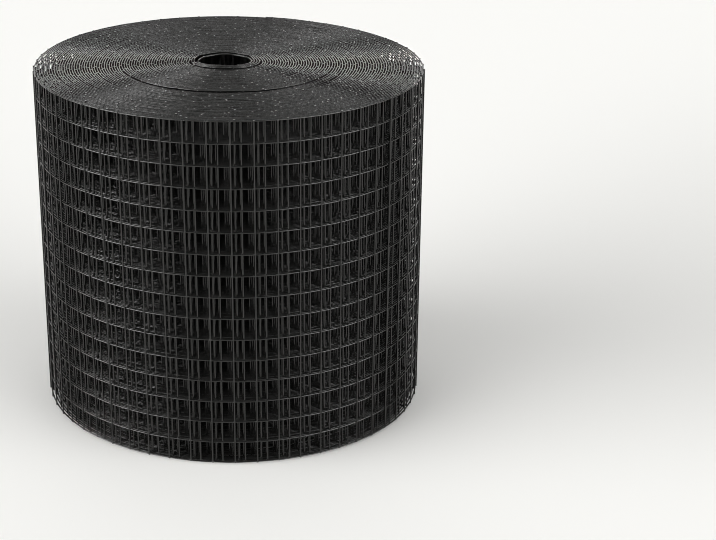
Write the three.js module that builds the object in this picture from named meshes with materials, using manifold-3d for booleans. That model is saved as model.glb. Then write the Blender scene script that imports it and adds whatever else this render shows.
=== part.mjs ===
// Roll of PVC-coated welded wire mesh: one long strip with half-inch square cells, wound on itself
// round an open eye and stood on its end. Millimetres, +Z up. The roll's axis is Z and its lower end
// lies on Z = 0. The side that is looked at faces -Y, so the strip's outer end lies behind, on +Y.
// Angles are in degrees from +X. Seen from above, the strip winds outwards anticlockwise.
import * as THREE from 'three';
import { mergeVertices } from 'three/addons/utils/BufferGeometryUtils.js';
import Module from 'manifold-3d';

// The strip
const CELL = 12.7;          // spacing of the wires, both ways
const CELLS_HIGH = 16;      // cells across the strip
const WIRE = 0.9;           // a wire with its coat
const STUB = 0.85;          // cut wire ends past the strip's edge wires

// The winding
const ROLL_RADIUS = 116;    // to the outside of the last turn
const EYE_RADIUS = 15.2;    // to the inside of the first turn, at the strip's inner end
const EYE_SHIFT = -2;       // the eye lies this far off the axis, along X
const EYE_END = -60;        // angle of the strip's inner end
const STRIP_END = 78;       // angle of the strip's outer end
const FULL_TURNS = 67;      // whole turns between the eye and the outside
const EYE_STEPS = 40;       // sides of the eye

// Crescent gaps where a turn lies slack, right through the roll: the turns inside it, its widest
// opening, and the arc that it covers
const SLACK_GAPS = [
  { turns: 3, opening: 1.8, from: -185, to: 110 },
  { turns: 10, opening: 0.8, from: -58, to: -16 },
  { turns: 32, opening: 1.2, from: -168, to: -12 },
  { turns: 36, opening: 0.9, from: -60, to: -18 },
];
const GAP_TIP = 0.3;        // opening left at a gap's blunt ends
const GAP_STEP = 8;         // degrees between the facets along a gap
const ARC_START = -185;     // angles are counted on from here
const PAST_GAP = 0.5;       // what lies this many turns outside a gap is pushed out by it

// The net is cut at twice its real spacing, as deep as one sees between the outer turns
const NET_STEP = 2 * CELL;
const NET_ROWS = CELLS_HIGH / 2;
const NET_TURNS_DEEP = 6;
const OUTLINE_CORNERS = [0.25, 0.75];   // the outline's corners, as shares of a net column
const CLEAR = 2;                        // cutters and wire roots reach this far past a surface

// Sizes that follow
const DEGREES = 360;
const LAYERS = FULL_TURNS + (STRIP_END - EYE_END) / DEGREES;      // turns from the eye to the outside
const TURN = (ROLL_RADIUS - EYE_RADIUS) / LAYERS;                 // thickness of one turn
const LINE_INSET = TURN - WIRE;                                   // line wires lie inside the cross wires
const ROLL_HEIGHT = CELL * CELLS_HIGH + WIRE + 2 * STUB;
const EDGE_WIRE_Z = STUB + WIRE / 2;
const NET_DEPTH = NET_TURNS_DEEP * TURN;
const NET_ANGLE = THREE.MathUtils.radToDeg(NET_STEP / (ROLL_RADIUS - TURN / 2));
const CROSS_WIRES = Math.floor(DEGREES / NET_ANGLE) + 1;
const TAIL_ANGLE = THREE.MathUtils.radToDeg((WIRE / 2 + STUB) / ROLL_RADIUS);   // line wires past the end

const wasm = await Module();
wasm.setup();

function polar(radius, angle) {
  return new THREE.Vector2(radius, 0).rotateAround(new THREE.Vector2(), THREE.MathUtils.degToRad(angle));
}

// Turns between the eye and a slack gap, counted at an angle
function gapLayer(gap, angle) {
  return gap.turns + (angle - EYE_END) / DEGREES;
}

// A gap's opening at an angle, widest in the middle of its arc
function gapOpening({ opening, from, to }, angle) {
  const share = (angle - from) / (to - from);
  return share < 0 || share > 1 ? 0 : GAP_TIP + (opening - GAP_TIP) * Math.sin(Math.PI * share);
}

// A point of the spiral, so many turns out from the strip's inner end. What the shifted eye and the
// slack gaps push out is taken up by the turns outside them, so the last turn stays round.
function spiralPoint(layers, angle, inset = 0) {
  const share = 1 - layers / LAYERS;
  const turned = ARC_START + THREE.MathUtils.euclideanModulo(angle - ARC_START, DEGREES);
  let radius = EYE_RADIUS + TURN * layers - inset;
  for (const gap of SLACK_GAPS) {
    const inside = gapLayer(gap, turned);
    if (layers > inside + PAST_GAP) {
      radius += gapOpening(gap, turned) * (LAYERS - layers) / (LAYERS - inside);
    }
  }
  return polar(radius, angle).add(new THREE.Vector2(EYE_SHIFT * share, 0));
}

// A point of the last turn: swept back along the strip from its end, and set in from the outside
function outerPoint(sweep, inset) {
  return spiralPoint(LAYERS - sweep / DEGREES, STRIP_END - sweep, inset);
}

// The eye follows the first turn, with a step of one turn at the strip's inner end
function eyePath() {
  const points = [];
  for (let step = 0; step <= EYE_STEPS; step += 1) {
    const turned = step / EYE_STEPS;
    points.push(spiralPoint(turned, EYE_END + DEGREES * turned));
  }
  return new THREE.Path(points);
}

function slackPath(gap) {
  const inner = [];
  const outer = [];
  const steps = Math.round((gap.to - gap.from) / GAP_STEP);
  for (let step = 0; step <= steps; step += 1) {
    const angle = THREE.MathUtils.lerp(gap.from, gap.to, step / steps);
    inner.push(spiralPoint(gapLayer(gap, angle), angle));
    outer.unshift(spiralPoint(gapLayer(gap, angle), angle, -gapOpening(gap, angle)));
  }
  return new THREE.Path([...inner, ...outer]);
}

// The outline of the last turn, set in from the outside. Its flats are centred on the cross wires and
// on the cells between them, and it ends in a step of one turn at the strip's outer end.
function turnOutline(inset) {
  const columns = Array.from({ length: CROSS_WIRES }, (_, column) => column);
  const corners = columns.flatMap((column) => OUTLINE_CORNERS.map((share) => (column + share) * NET_ANGLE));
  const lastCorner = DEGREES - TAIL_ANGLE;
  const sweeps = [-TAIL_ANGLE, ...corners.filter((sweep) => sweep < lastCorner), lastCorner];
  return sweeps.reverse().map((sweep) => outerPoint(sweep, inset));   // listed anticlockwise
}

// The wound body, out to the line wires of the last turn
function woundBody() {
  const section = new THREE.Shape(turnOutline(LINE_INSET));
  section.holes.push(eyePath(), ...SLACK_GAPS.map(slackPath));
  return new THREE.ExtrudeGeometry(section, { depth: ROLL_HEIGHT, bevelEnabled: false });
}

// The space between two line wires of the cut net, all the way round
function netRow(row) {
  const section = new THREE.Shape(turnOutline(-CLEAR));
  section.holes.push(new THREE.Path(turnOutline(NET_DEPTH)));
  const space = new THREE.ExtrudeGeometry(section, { depth: NET_STEP - WIRE, bevelEnabled: false });
  return space.translate(0, 0, EDGE_WIRE_Z + WIRE / 2 + row * NET_STEP);
}

// The cross wires of the outer turns at one place, as a thin wall that stands proud of the line wires
// and is rooted in the body
function crossWire(sweep) {
  const foot = outerPoint(sweep, NET_DEPTH + CLEAR).length();
  const face = outerPoint(sweep, 0).length();
  const wire = new THREE.BoxGeometry(face - foot, WIRE, ROLL_HEIGHT);
  wire.translate((face + foot) / 2, 0, ROLL_HEIGHT / 2);
  return wire.rotateZ(THREE.MathUtils.degToRad(STRIP_END - sweep));
}

function toSolid(geometry) {
  geometry.deleteAttribute('normal');
  geometry.deleteAttribute('uv');
  const merged = mergeVertices(geometry);
  const vertProperties = new Float32Array(merged.attributes.position.array);
  const triVerts = new Uint32Array(merged.index.array);
  return new wasm.Manifold(new wasm.Mesh({ numProp: 3, vertProperties, triVerts }));
}

function toGeometry(solid) {
  const { vertProperties, triVerts } = solid.getMesh();
  const geometry = new THREE.BufferGeometry();
  geometry.setAttribute('position', new THREE.BufferAttribute(vertProperties, 3));
  geometry.setIndex(new THREE.BufferAttribute(triVerts, 1));
  geometry.computeVertexNormals();
  return geometry;
}

// The body less the rows of its net, with the cross wires of the last turn across them
function rollGeometry() {
  let solid = toSolid(woundBody());
  for (let row = 0; row < NET_ROWS; row += 1) {
    solid = solid.subtract(toSolid(netRow(row)));
  }
  for (let wire = 0; wire < CROSS_WIRES; wire += 1) {
    solid = solid.add(toSolid(crossWire(wire * NET_ANGLE)));
  }
  return toGeometry(solid);
}

const blackCoat = new THREE.MeshStandardMaterial({ color: 0x1b1b1a, roughness: 0.45, metalness: 0 });
const meshRoll = new THREE.Mesh(rollGeometry(), blackCoat);
meshRoll.name = 'mesh_roll';

const roll = new THREE.Group();
roll.add(meshRoll);

export default roll;
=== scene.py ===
"""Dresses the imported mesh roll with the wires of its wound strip, their coat, and a plain white stage."""
import math

import bmesh
import bpy
import numpy as np
from bpy.props import FloatProperty, FloatVectorProperty, IntProperty, PointerProperty
from bpy.types import Operator, Panel, PropertyGroup
from mathutils import Matrix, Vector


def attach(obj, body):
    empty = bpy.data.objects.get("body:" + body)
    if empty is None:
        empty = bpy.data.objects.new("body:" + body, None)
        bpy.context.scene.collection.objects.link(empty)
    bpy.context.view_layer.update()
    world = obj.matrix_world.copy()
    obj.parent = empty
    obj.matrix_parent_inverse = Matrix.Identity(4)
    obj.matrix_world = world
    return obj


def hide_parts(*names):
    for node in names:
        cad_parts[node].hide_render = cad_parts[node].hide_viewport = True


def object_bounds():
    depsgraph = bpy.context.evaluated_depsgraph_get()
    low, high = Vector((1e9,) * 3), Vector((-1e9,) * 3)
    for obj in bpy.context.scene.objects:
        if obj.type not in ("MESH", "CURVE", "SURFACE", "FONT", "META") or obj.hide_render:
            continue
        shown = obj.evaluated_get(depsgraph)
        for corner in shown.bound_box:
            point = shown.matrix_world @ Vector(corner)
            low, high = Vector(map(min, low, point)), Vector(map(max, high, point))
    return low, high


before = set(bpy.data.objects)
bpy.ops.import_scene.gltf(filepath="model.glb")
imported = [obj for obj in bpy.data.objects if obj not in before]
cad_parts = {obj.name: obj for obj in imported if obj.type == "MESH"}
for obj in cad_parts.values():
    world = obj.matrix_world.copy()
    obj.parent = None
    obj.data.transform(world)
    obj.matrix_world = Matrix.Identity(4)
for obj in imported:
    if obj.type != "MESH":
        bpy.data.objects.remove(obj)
CAD_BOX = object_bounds()

bl_info = {
    "name": "Welded mesh roll",
    "version": (1, 0, 0),
    "blender": (4, 5, 0),
    "location": "View3D > Sidebar > Mesh roll",
    "description": "Winds a strip of coated wire mesh into an upright roll",
    "category": "Object",
}

MM = 0.001
CIRCLE = 2 * math.pi
BODY = "root"
NODE = "mesh_roll"
SEED = 7

# Slack turns: the turns inside a gap, its widest opening, the arc in degrees that it covers, and how
# far the turns inside it have risen on the near side
SLACK_GAPS = [
    {"turns": 1, "opening": 3.2 * MM, "start": 20, "end": 175, "risen": 0},
    {"turns": 4, "opening": 2.4 * MM, "start": -185, "end": 10, "risen": 0.4 * MM},
    {"turns": 10, "opening": 0.8 * MM, "start": -58, "end": -16, "risen": 0},
    {"turns": 32, "opening": 1.6 * MM, "start": -168, "end": -12, "risen": 0.6 * MM},
    {"turns": 36, "opening": 0.9 * MM, "start": -60, "end": -18, "risen": 0.2 * MM},
]
ARC_START = -185            # degrees, from where the arcs are counted on
MIDWAY = 0.5                # turns: a gap lies midway between two of them
NEAR_SIDE = -95             # degrees

# The first turns have sprung inwards at the front of the eye: how many, how far, and over what arc
SPRUNG_TURNS = 5
SPRUNG_IN = 3.2 * MM
SPRUNG_MIDDLE = -100        # degrees
SPRUNG_HALF_ARC = 65        # degrees
FIRST_TURN_IN = 0.9 * MM    # the first turn stands loose inside the second
FIRST_TURN = 1.1            # turns that count as the first
FIRST_TURN_TRIM = 0.25 * MM  # its cross wires are cut shorter than the rest at both ends

# The roll is out of round behind: how far the last turn stands out, and over what arc
BULGE = 4.4 * MM
BULGE_MIDDLE = 112          # degrees
BULGE_HALF_ARC = 75         # degrees

# How evenly the strip was wound. It strays at random at each knot, and evenly between knots.
KNOTS_PER_TURN = 6
RISE = 0.09 * MM            # up and down
SWELL = 0.02 * MM           # in and out
CROWN = 2.0 * MM            # how far the inner turns have ridden up
WAVE = 0.07 * MM            # bends of one line wire between its welds
WAVE_STEP = 8 * MM          # from one bend to the next
SPACING_ERROR = 0.03 * MM   # of each cross wire along the strip from the next, adding up
SLANT = -0.012              # how far the turns have slipped sideways, for each unit of height
FINE_STEPS = 120_000        # steps that measure the strip's run

# Line wires between the two edge wires, in bands of turns counted in from the outside. The middle of
# the roll shows only down its ends, so it has none but those next to the edges.
LINE_BANDS = [
    {"name": "line_wires_outer", "first": 0, "last": 4, "sides": 8, "step": 6.3 * MM, "all_rows": True},
    {"name": "line_wires_second", "first": 4, "last": 12, "sides": 6, "step": 8 * MM, "all_rows": True},
    {"name": "line_wires_deep", "first": 12, "last": 30, "sides": 4, "step": 9 * MM, "all_rows": True},
    {"name": "line_wires_middle", "first": 30, "last": 58, "sides": 4, "step": 6 * MM, "all_rows": False},
    {"name": "line_wires_eye", "first": 58, "last": 68, "sides": 6, "step": 2.4 * MM, "all_rows": True},
]
EDGE_SIDES = 8
EDGE_STEP = 6.3 * MM
EYE_TURNS = 10              # the tightest turns, where the edge wires bend in shorter steps
EYE_STEP = 2.2 * MM

# Cross wires. The shears cut most ends just below the tops of the edge wires, and left a few long.
CROSS_SIDES = 8
TIP_RING = 0.16 * MM        # a ring of edges so far from each end keeps the shading of the side straight
SHORTEST_STUB = -0.29       # of a full stub
LONGEST_STUB = 0.6          # of a full stub
STUB_SKEW = 12              # the higher, the fewer long ends
LEAN = 0.12 * MM            # of each end, to any side

# Coat beads at the welds of the outer turns: half-sizes along the strip, out from it and up
BEAD_TURNS = 6
BEAD_SIDES = 6
BEAD_RINGS = 3
BEAD = (1.05 * MM, 0.62 * MM, 0.6 * MM)
BEAD_MIDDLE = 0.6           # wires, out from the strip's inner face
BEAD_SPREAD = 0.25          # share by which beads are smaller or larger

# The coat: slow sags from dipping, which make it more or less glossy, and patches scuffed by handling
SAG_SIZE = 1.8 * MM
SAG_DEPTH = 0.05 * MM
SAG_STRENGTH = 0.5
SAG_NOISE = (0.3, 0.7)      # the noise from the glossiest sags to the dullest
COAT_ROUGHNESS = (0.08, 0.17)
COAT_IOR = 1.49
SCUFF_SIZE = 9 * MM
SCUFF_NOISE = (0.48, 0.72)  # the noise from clean coat to the greyest
MIX_SHARE, MIX_FIRST, MIX_SECOND, MIX_RESULT = 0, 6, 7, 2   # a mix node's sockets for colours

# The floor's paper
MOTTLE_SIZE = 40 * MM
PAPER_ROUGHNESS = (0.8, 0.95)
PAPER_GLOSS = 0.2
FLOOR_RADIUS = 9.0          # metres
FLOOR_SIDES = 128

# The reference view, in pixels of a 716 by 540 image, and its camera
IMAGE_WIDTH, IMAGE_HEIGHT = 716, 540
FOCAL_PIXELS = 1769.6
AXIS_PIXEL = (245, 250)     # where the lens axis meets the image
SENSOR = 36.0               # millimetres wide
CAMERA_AWAY = 1.0137        # metres, from the roll's axis
CAMERA_HEIGHT = 0.4816      # metres
CAMERA_PITCH = 21.274       # degrees down
CAMERA_PAN = 0.4887         # degrees to the right
NEAR_CLIP = 0.01            # metres
SHARPNESS = 1.0             # pixels that each point of the image is blurred over

# Light panels of the white room: degrees right of the viewer and up, how far each reaches across and up
# before it fades out, and how bright its middle is. The last is the ceiling, which goes all the way round.
ROOM_LIGHT = 0.12
LIGHT_TINT = (1, 0.995, 0.985, 1)
PANELS = [
    {"azimuth": -68, "elevation": 9, "across": 49, "up": 14, "light": 27.0},
    {"azimuth": 60, "elevation": 9, "across": 48, "up": 14, "light": 17.5},
    {"azimuth": 180, "elevation": 20, "across": 62, "up": 12, "light": 2.35},
    {"azimuth": 180, "elevation": 90, "across": 1000, "up": 45, "light": 0.85},
]
PANEL_CORE = 0.2            # share of a panel that is fully bright


def linear(code):
    """An sRGB hex colour as linear red, green and blue."""
    shares = [int(code[i:i + 2], 16) / 255 for i in (0, 2, 4)]
    return [s / 12.92 if s <= 0.04045 else ((s + 0.055) / 1.055) ** 2.4 for s in shares]


class RollSizes(PropertyGroup):
    """Sizes of the strip and of its winding"""

    cell: FloatProperty(
        name="Cell", description="Spacing of the line wires", default=12.7 * MM, unit='LENGTH')
    cell_along: FloatProperty(
        name="Cell along", description="Spacing of the cross wires along the strip",
        default=12.750 * MM, precision=4, unit='LENGTH')
    cells_high: IntProperty(
        name="Cells high", description="Cells across the strip", default=16, min=1)
    wire: FloatProperty(
        name="Wire", description="Diameter of a wire with its coat", default=0.9 * MM, unit='LENGTH')
    stub: FloatProperty(
        name="Stub", description="Cut ends of the cross wires past the edge wires",
        default=0.85 * MM, unit='LENGTH')
    roll_radius: FloatProperty(
        name="Roll radius", description="Axis to the outside of the last turn",
        default=116 * MM, unit='LENGTH')
    eye_radius: FloatProperty(
        name="Eye radius", description="Inside of the first turn at the strip's inner end",
        default=15.2 * MM, unit='LENGTH')
    eye_shift: FloatProperty(
        name="Eye shift", description="How far the eye lies off the axis, along X",
        default=-2 * MM, unit='LENGTH')
    eye_end: FloatProperty(
        name="Inner end", description="Angle of the strip's inner end",
        default=math.radians(-60), subtype='ANGLE')
    strip_end: FloatProperty(
        name="Outer end", description="Angle of the strip's outer end",
        default=math.radians(78), subtype='ANGLE')
    full_turns: IntProperty(
        name="Turns", description="Whole turns between the eye and the outside", default=67, min=2)
    front_wire: FloatProperty(
        name="Front wire", description="Angle of the last turn's cross wire that faces the viewer",
        default=math.radians(-89.55), subtype='ANGLE')


class RollColours(PropertyGroup):
    """Colours of the coat and of the floor"""

    coat: FloatVectorProperty(
        name="Coat", description="Black PVC where it is clean", default=linear("0b0b0a"),
        size=3, subtype='COLOR')
    scuffed_coat: FloatVectorProperty(
        name="Scuffed coat", description="Black PVC where handling has greyed it",
        default=linear("181716"), size=3, subtype='COLOR')
    floor: FloatVectorProperty(
        name="Floor", description="White paper that the roll stands on", default=linear("f8f8f6"),
        size=3, subtype='COLOR')


class Winding:
    """The strip's path, in turns from its inner end: where its inner face lies and how far it has run"""

    def __init__(self, sizes):
        self.sizes = sizes
        self.layers = sizes.full_turns + (sizes.strip_end - sizes.eye_end) / CIRCLE
        self.turns = self.layers - 1
        self.pitch = (sizes.roll_radius - sizes.eye_radius) / self.layers
        draw = np.random.default_rng(SEED)
        self.knots = np.linspace(0, self.turns, int(self.turns * KNOTS_PER_TURN))
        self.rises = draw.normal(0, RISE, self.knots.size)
        self.swells = draw.normal(0, SWELL, self.knots.size)
        self.fine = np.linspace(0, self.turns, FINE_STEPS)
        steps = np.diff(self.plan(self.fine, sizes.wire / 2), axis=0)
        self.run = np.concatenate([[0], np.cumsum(np.hypot(*steps.T))])
        self.wave_runs = np.arange(0, self.run[-1] + WAVE_STEP, WAVE_STEP)
        self.waves = draw.normal(0, WAVE, (sizes.cells_high + 1, self.wave_runs.size))

    def angle(self, turns):
        return self.sizes.eye_end + CIRCLE * turns

    def swelling(self, turns, middle, half_arc):
        """A share that is one in the middle of an arc, and falls smoothly to nothing at its ends."""
        off_middle = np.mod(np.degrees(self.angle(turns)) - middle + 180, 360) - 180
        return np.cos(np.clip(off_middle / half_arc, -1, 1) * math.pi / 2) ** 2

    def gap_place(self, gap, turns):
        """The angle in degrees on a gap's own count, and the turns that lie inside the gap there."""
        arc = ARC_START + np.mod(np.degrees(self.angle(turns)) - ARC_START, 360)
        return arc, gap["turns"] - MIDWAY + (np.radians(arc) - self.sizes.eye_end) / CIRCLE

    def plan(self, turns, out):
        """Places seen from above, so far out from the strip's inner face."""
        sizes = self.sizes
        angle = self.angle(turns)
        radius = sizes.eye_radius + self.pitch * turns + out + np.interp(turns, self.knots, self.swells)
        for gap in SLACK_GAPS:
            arc, inside = self.gap_place(gap, turns)
            share = np.clip((arc - gap["start"]) / (gap["end"] - gap["start"]), 0, 1)
            opening = gap["opening"] * np.sin(np.pi * share)
            taken_up = (self.layers - turns) / (self.layers - inside)
            radius = radius + np.where(turns > inside, opening * taken_up, 0)
        radius = radius + BULGE * self.swelling(turns, BULGE_MIDDLE, BULGE_HALF_ARC) * turns / self.turns
        sprung = self.swelling(turns, SPRUNG_MIDDLE, SPRUNG_HALF_ARC)
        radius = radius - SPRUNG_IN * sprung * np.clip(1 - turns / SPRUNG_TURNS, 0, 1)
        radius = radius - FIRST_TURN_IN * np.sin(math.pi * np.clip(turns / FIRST_TURN, 0, 1)) ** 2
        shift = sizes.eye_shift * (1 - turns / self.layers)
        return np.column_stack([radius * np.cos(angle) + shift, radius * np.sin(angle)])

    def rise(self, turns):
        """How far the strip has ridden up."""
        rise = np.interp(turns, self.knots, self.rises) + CROWN * (1 - turns / self.turns)
        near = np.maximum(np.cos(self.angle(turns) - math.radians(NEAR_SIDE)), 0)
        for gap in SLACK_GAPS:
            inside = self.gap_place(gap, turns)[1]
            rise = rise + gap["risen"] * np.where(turns < inside, near, 0)
        return rise

    def row_height(self, row):
        return self.sizes.stub + self.sizes.wire / 2 + row * self.sizes.cell

    def every(self, step, first, last):
        """Turns evenly spaced along the strip, about one step apart, both ends among them."""
        start, end = np.interp([first, last], self.fine, self.run)
        count = max(2, int(round((end - start) / step)) + 1)
        return np.interp(np.linspace(start, end, count), self.run, self.fine)

    def cross_turns(self):
        """The turns where cross wires stand, counted both ways from the one that faces the viewer."""
        sizes = self.sizes
        past = math.floor(self.turns - (sizes.front_wire - sizes.eye_end) / CIRCLE)
        facing = np.interp(past + (sizes.front_wire - sizes.eye_end) / CIRCLE, self.fine, self.run)
        first = facing - math.floor(facing / sizes.cell_along) * sizes.cell_along
        runs = np.arange(first, self.run[-1], sizes.cell_along)
        errors = np.cumsum(np.random.default_rng(SEED + 3).normal(0, SPACING_ERROR, runs.size))
        runs += errors - np.interp(facing, runs, errors)
        return np.interp(runs[(runs > 0) & (runs < self.run[-1])], self.run, self.fine)

    def route(self, row, turns):
        """Points along a line wire."""
        waves = np.interp(np.interp(turns, self.fine, self.run), self.wave_runs, self.waves[row])
        heights = self.row_height(row) + self.rise(turns) + waves
        return np.column_stack([self.plan(turns, self.sizes.wire / 2), heights])


def add_node(tree, kind, inputs=None, **settings):
    """Adds a node with its settings. An input is a value for its socket, or an output to link to it."""
    made = tree.nodes.new(kind)
    for name, value in settings.items():
        setattr(made, name, value)
    for name, value in (inputs or {}).items():
        if isinstance(value, bpy.types.NodeSocket):
            tree.links.new(value, made.inputs[name])
        else:
            made.inputs[name].default_value = value
    return made


def dipped_pvc(colours):
    """Black PVC, dipped over welded wire: a soft gloss with slow sags, greyed a little by handling."""
    name = "dipped_black_pvc"
    if name in bpy.data.materials:
        return bpy.data.materials[name]
    material = bpy.data.materials.new(name)
    material.use_nodes = True
    tree = material.node_tree
    tree.nodes.clear()
    place = add_node(tree, 'ShaderNodeTexCoord').outputs["Object"]
    scuffs = add_node(tree, 'ShaderNodeTexNoise', {
        "Vector": place, "Scale": 1 / SCUFF_SIZE, "Detail": 4.0, "Roughness": 0.6}).outputs["Fac"]
    sags = add_node(tree, 'ShaderNodeTexNoise', {
        "Vector": place, "Scale": 1 / SAG_SIZE, "Detail": 2.0, "Roughness": 0.5}).outputs["Fac"]
    greyed = add_node(tree, 'ShaderNodeMapRange', {
        "Value": scuffs, "From Min": SCUFF_NOISE[0], "From Max": SCUFF_NOISE[1]}).outputs["Result"]
    colour = add_node(tree, 'ShaderNodeMix', {
        MIX_SHARE: greyed,
        MIX_FIRST: (*colours.coat, 1),
        MIX_SECOND: (*colours.scuffed_coat, 1)}, data_type='RGBA').outputs[MIX_RESULT]
    roughness = add_node(tree, 'ShaderNodeMapRange', {
        "Value": sags, "From Min": SAG_NOISE[0], "From Max": SAG_NOISE[1],
        "To Min": COAT_ROUGHNESS[0], "To Max": COAT_ROUGHNESS[1]}).outputs["Result"]
    bump = add_node(tree, 'ShaderNodeBump', {
        "Height": sags, "Strength": SAG_STRENGTH, "Distance": SAG_DEPTH}).outputs["Normal"]
    shader = add_node(tree, 'ShaderNodeBsdfPrincipled', {
        "Base Color": colour, "Roughness": roughness, "IOR": COAT_IOR, "Normal": bump})
    add_node(tree, 'ShaderNodeOutputMaterial', {"Surface": shader.outputs["BSDF"]})
    return material


def white_paper(colours):
    """Matt white backdrop paper: no gloss, with a faint mottle."""
    material = bpy.data.materials.new("matt_white_paper")
    material.use_nodes = True
    tree = material.node_tree
    tree.nodes.clear()
    place = add_node(tree, 'ShaderNodeTexCoord').outputs["Object"]
    mottle = add_node(tree, 'ShaderNodeTexNoise', {
        "Vector": place, "Scale": 1 / MOTTLE_SIZE, "Detail": 3.0}).outputs["Fac"]
    roughness = add_node(tree, 'ShaderNodeMapRange', {
        "Value": mottle, "To Min": PAPER_ROUGHNESS[0], "To Max": PAPER_ROUGHNESS[1]}).outputs["Result"]
    shader = add_node(tree, 'ShaderNodeBsdfPrincipled', {
        "Base Color": (*colours.floor, 1), "Roughness": roughness, "Specular IOR Level": PAPER_GLOSS})
    add_node(tree, 'ShaderNodeOutputMaterial', {"Surface": shader.outputs["BSDF"]})
    return material


def add_piece(context, mesh, material):
    """Puts a finished mesh into the scene as a piece of the roll, in place of its solid."""
    half_height = CAD_BOX[1].z / 2
    mesh.transform(Matrix.Shear('XY', 4, (SLANT, 0)) @ Matrix.Translation((-SLANT * half_height, 0, 0)))
    mesh.materials.clear()
    mesh.materials.append(material)
    piece = bpy.data.objects.new(mesh.name, mesh)
    context.collection.objects.link(piece)
    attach(piece, BODY)
    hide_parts(NODE)


def drawn_wires(context, name, routes, diameter, sides):
    """A mesh of round wires that follow routes of points, with closed ends."""
    curve = bpy.data.curves.new(name, 'CURVE')
    curve.dimensions = '3D'
    curve.twist_mode = 'Z_UP'
    curve.bevel_depth = diameter / 2
    curve.bevel_resolution = (sides - 4) // 2
    curve.use_fill_caps = True
    for route in routes:
        spline = curve.splines.new('POLY')
        spline.points.add(len(route) - 1)
        spline.points.foreach_set("co", np.column_stack([route, np.ones(len(route))]).ravel())
    holder = bpy.data.objects.new(name, curve)
    context.collection.objects.link(holder)
    mesh = bpy.data.meshes.new_from_object(holder.evaluated_get(context.evaluated_depsgraph_get()))
    bpy.data.objects.remove(holder)
    bpy.data.curves.remove(curve)
    mesh.name = name
    mesh.shade_smooth()
    return mesh


def joined_copies(name, shape, points_of):
    """One mesh of many copies of a small shape, which is freed. points_of places its points in each."""
    shape.verts.index_update()
    copies = points_of(np.array([vert.co for vert in shape.verts]))
    faces = [[vert.index for vert in face.verts] for face in shape.faces]
    smooth = [face.smooth for face in shape.faces]
    count = len(shape.verts)
    shape.free()
    firsts = range(0, count * len(copies), count)
    all_faces = [[first + corner for corner in face] for first in firsts for face in faces]
    mesh = bpy.data.meshes.new(name)
    mesh.from_pydata(copies.reshape(-1, 3), [], all_faces)
    mesh.polygons.foreach_set("use_smooth", np.tile(smooth, len(copies)))
    return mesh


class MESHROLL_OT_edge_wires(Operator):
    """Winds the line wires along the strip's two edges, all the way from the eye to the outside"""

    bl_idname = "mesh_roll.edge_wires"
    bl_label = "Edge wires"

    def execute(self, context):
        sizes = context.scene.mesh_roll_sizes
        winding = Winding(sizes)
        round_eye = winding.every(EYE_STEP, 0, EYE_TURNS)
        farther_out = winding.every(EDGE_STEP, EYE_TURNS, winding.turns)
        turns = np.concatenate([round_eye, farther_out[1:]])
        for name, row in (("edge_wire_bottom", 0), ("edge_wire_top", sizes.cells_high)):
            mesh = drawn_wires(context, name, [winding.route(row, turns)], sizes.wire, EDGE_SIDES)
            add_piece(context, mesh, dipped_pvc(context.scene.mesh_roll_colours))
        return {'FINISHED'}


class MESHROLL_OT_line_wires(Operator):
    """Winds the line wires between the edges, wherever they show through the net or the eye"""

    bl_idname = "mesh_roll.line_wires"
    bl_label = "Line wires"

    def execute(self, context):
        sizes = context.scene.mesh_roll_sizes
        winding = Winding(sizes)
        for band in LINE_BANDS:
            inner = max(0, winding.turns - band["last"])
            turns = winding.every(band["step"], inner, winding.turns - band["first"])
            inner_rows = range(1, sizes.cells_high)
            rows = inner_rows if band["all_rows"] else (inner_rows[0], inner_rows[-1])
            routes = [winding.route(row, turns) for row in rows]
            mesh = drawn_wires(context, band["name"], routes, sizes.wire, band["sides"])
            add_piece(context, mesh, dipped_pvc(context.scene.mesh_roll_colours))
        return {'FINISHED'}


class MESHROLL_OT_cross_wires(Operator):
    """Stands the cross wires on the outer side of the line wires, with their sheared ends"""

    bl_idname = "mesh_roll.cross_wires"
    bl_label = "Cross wires"

    def execute(self, context):
        sizes = context.scene.mesh_roll_sizes
        winding = Winding(sizes)
        draw = np.random.default_rng(SEED + 1)
        turns = winding.cross_turns()
        rise = winding.rise(turns)
        left_long = draw.uniform(0, 1, (2, turns.size)) ** STUB_SKEW
        stub = sizes.stub * (SHORTEST_STUB + (LONGEST_STUB - SHORTEST_STUB) * left_long)
        reach = sizes.wire / 2 + stub - np.where(turns < FIRST_TURN, FIRST_TURN_TRIM, 0)
        foot = np.maximum(winding.row_height(0) + rise - reach[0], 0)
        head = winding.row_height(sizes.cells_high) + rise + reach[1]
        lean = draw.normal(0, LEAN, (turns.size, 2))

        # A plain wire one unit long, whose upper and lower halves are then moved apart to its real ends
        tip = 0.5
        shape = bmesh.new()
        bmesh.ops.create_cone(
            shape, segments=CROSS_SIDES, radius1=sizes.wire / 2, radius2=sizes.wire / 2, depth=2 * tip,
            cap_ends=True)
        for height in (tip - TIP_RING, TIP_RING - tip):
            bmesh.ops.bisect_plane(
                shape, geom=shape.verts[:] + shape.edges[:] + shape.faces[:],
                plane_co=(0, 0, height), plane_no=(0, 0, 1))
        for face in shape.faces:
            face.smooth = len(face.verts) == 4

        def placed(points):
            upper = points[:, 2] > 0
            from_tip = points[:, 2] - np.where(upper, tip, -tip)
            copies = np.empty((turns.size, len(points), 3))
            copies[:, :, :2] = points[:, :2] + winding.plan(turns, winding.pitch - sizes.wire / 2)[:, None]
            copies[:, :, :2] += lean[:, None] * np.where(upper, 1, -1)[:, None]
            copies[:, :, 2] = from_tip + np.where(upper, head[:, None], foot[:, None])
            return copies

        mesh = joined_copies("cross_wires", shape, placed)
        add_piece(context, mesh, dipped_pvc(context.scene.mesh_roll_colours))
        return {'FINISHED'}


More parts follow.
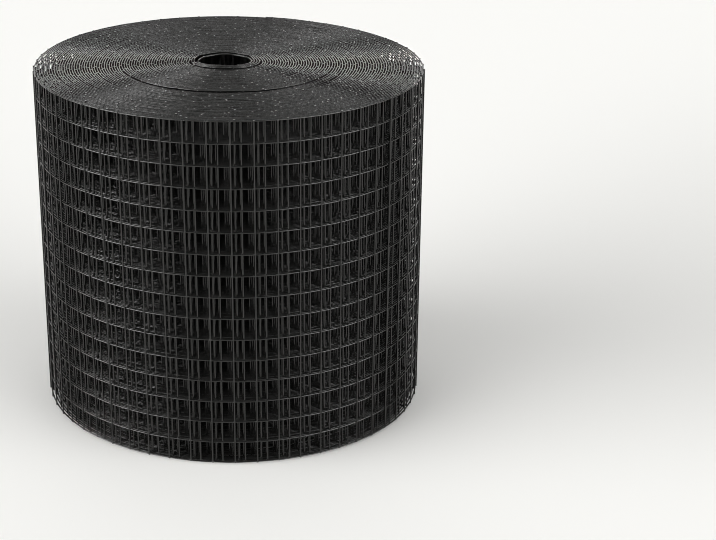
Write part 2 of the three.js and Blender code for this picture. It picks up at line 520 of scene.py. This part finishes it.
class MESHROLL_OT_weld_beads(Operator):
    """Lays the beads where the coat has gathered round the welds of the outer turns"""

    bl_idname = "mesh_roll.weld_beads"
    bl_label = "Weld beads"

    def execute(self, context):
        sizes = context.scene.mesh_roll_sizes
        winding = Winding(sizes)
        draw = np.random.default_rng(SEED + 2)
        turns = winding.cross_turns()
        turns = turns[turns > winding.turns - BEAD_TURNS]
        rows = np.arange(sizes.cells_high + 1)

        shape = bmesh.new()
        bmesh.ops.create_uvsphere(shape, u_segments=BEAD_SIDES, v_segments=BEAD_RINGS, radius=1)
        for face in shape.faces:
            face.smooth = True
        spread = draw.uniform(1 - BEAD_SPREAD, 1 + BEAD_SPREAD, (turns.size, rows.size, 1))

        def placed(points):
            half_length, half_depth, half_height = BEAD
            along = points[:, 0] * half_length * spread
            outward = points[:, 1] * half_depth * spread
            tangent = winding.angle(turns)[:, None, None] + math.pi / 2
            centre = winding.plan(turns, sizes.wire * BEAD_MIDDLE)
            heights = winding.row_height(rows) + winding.rise(turns)[:, None]
            copies = np.empty((turns.size, rows.size, len(points), 3))
            copies[..., 0] = centre[:, 0, None, None] + along * np.cos(tangent) - outward * np.sin(tangent)
            copies[..., 1] = centre[:, 1, None, None] + along * np.sin(tangent) + outward * np.cos(tangent)
            copies[..., 2] = heights[:, :, None] + points[:, 2] * half_height * spread
            return copies.reshape(-1, len(points), 3)

        mesh = joined_copies("weld_beads", shape, placed)
        add_piece(context, mesh, dipped_pvc(context.scene.mesh_roll_colours))
        return {'FINISHED'}


class MESHROLL_OT_stage(Operator):
    """Sets up the white floor, the soft lights and the camera of the reference view"""

    bl_idname = "mesh_roll.stage"
    bl_label = "Stage"

    def execute(self, context):
        self.lay_floor(context)
        self.hang_lights(context)
        self.place_camera(context)
        return {'FINISHED'}

    def lay_floor(self, context):
        mesh = bpy.data.meshes.new("floor")
        shape = bmesh.new()
        bmesh.ops.create_circle(shape, cap_ends=True, segments=FLOOR_SIDES, radius=FLOOR_RADIUS)
        shape.to_mesh(mesh)
        shape.free()
        mesh.materials.append(white_paper(context.scene.mesh_roll_colours))
        floor = bpy.data.objects.new("floor", mesh)
        context.collection.objects.link(floor)

    def hang_lights(self, context):
        world = bpy.data.worlds.new("white_studio")
        world.use_nodes = True
        tree = world.node_tree

        def worked_out(operation, *values):
            return add_node(tree, 'ShaderNodeMath', dict(enumerate(values)), operation=operation).outputs[0]

        way = add_node(tree, 'ShaderNodeTexCoord').outputs["Generated"]
        x, y, z = add_node(tree, 'ShaderNodeSeparateXYZ', {"Vector": way}).outputs
        azimuth = worked_out('ARCTAN2', x, worked_out('MULTIPLY', y, -1.0))
        elevation = worked_out('ARCSINE', z)
        light = ROOM_LIGHT
        for panel in PANELS:
            shares = []
            for place, name, reach in ((azimuth, "azimuth", "across"), (elevation, "elevation", "up")):
                middle = math.radians(panel[name])
                limit = math.radians(panel[reach])
                off_middle = worked_out('WRAP', worked_out('SUBTRACT', place, middle), math.pi, -math.pi)
                share = add_node(tree, 'ShaderNodeMapRange', {
                    "Value": worked_out('ABSOLUTE', off_middle),
                    "From Min": limit,
                    "From Max": PANEL_CORE * limit}, interpolation_type='SMOOTHSTEP')
                shares.append(share.outputs["Result"])
            glow = worked_out('MULTIPLY', *shares)
            light = worked_out('MULTIPLY_ADD', glow, panel["light"], light)
        background = tree.nodes["Background"]
        background.inputs["Color"].default_value = LIGHT_TINT
        tree.links.new(light, background.inputs["Strength"])
        context.scene.world = world

    def place_camera(self, context):
        lens = bpy.data.cameras.new("reference_view")
        lens.sensor_fit = 'HORIZONTAL'
        lens.sensor_width = SENSOR
        lens.lens = SENSOR * FOCAL_PIXELS / IMAGE_WIDTH
        lens.shift_x = (IMAGE_WIDTH / 2 - AXIS_PIXEL[0]) / IMAGE_WIDTH
        lens.shift_y = (AXIS_PIXEL[1] - IMAGE_HEIGHT / 2) / IMAGE_WIDTH
        lens.clip_start = NEAR_CLIP
        camera = bpy.data.objects.new("reference_view", lens)
        camera.location = (0, -CAMERA_AWAY, CAMERA_HEIGHT)
        camera.rotation_euler = (math.radians(90 - CAMERA_PITCH), 0, math.radians(-CAMERA_PAN))
        context.collection.objects.link(camera)
        context.scene.camera = camera
        context.scene.view_settings.view_transform = 'Standard'
        context.scene.cycles.filter_width = SHARPNESS


OPERATORS = [
    MESHROLL_OT_edge_wires,
    MESHROLL_OT_line_wires,
    MESHROLL_OT_cross_wires,
    MESHROLL_OT_weld_beads,
    MESHROLL_OT_stage,
]


class MESHROLL_PT_sidebar(Panel):
    """Lists the roll's sizes, colours and pieces"""

    bl_idname = "MESHROLL_PT_sidebar"
    bl_label = "Welded mesh roll"
    bl_space_type = 'VIEW_3D'
    bl_region_type = 'UI'
    bl_category = "Mesh roll"

    def draw(self, context):
        for group in (context.scene.mesh_roll_sizes, context.scene.mesh_roll_colours):
            box = self.layout.box()
            for name in group.__annotations__:
                box.prop(group, name)
        for operator in OPERATORS:
            self.layout.operator(operator.bl_idname)


CLASSES = [RollSizes, RollColours, *OPERATORS, MESHROLL_PT_sidebar]


def register():
    for each in CLASSES:
        bpy.utils.register_class(each)
    bpy.types.Scene.mesh_roll_sizes = PointerProperty(type=RollSizes)
    bpy.types.Scene.mesh_roll_colours = PointerProperty(type=RollColours)


def unregister():
    del bpy.types.Scene.mesh_roll_colours
    del bpy.types.Scene.mesh_roll_sizes
    for each in reversed(CLASSES):
        bpy.utils.unregister_class(each)


def main():
    register()
    bpy.ops.mesh_roll.edge_wires()
    bpy.ops.mesh_roll.line_wires()
    bpy.ops.mesh_roll.cross_wires()
    bpy.ops.mesh_roll.weld_beads()
    bpy.ops.mesh_roll.stage()


if __name__ == "__main__":
    main()
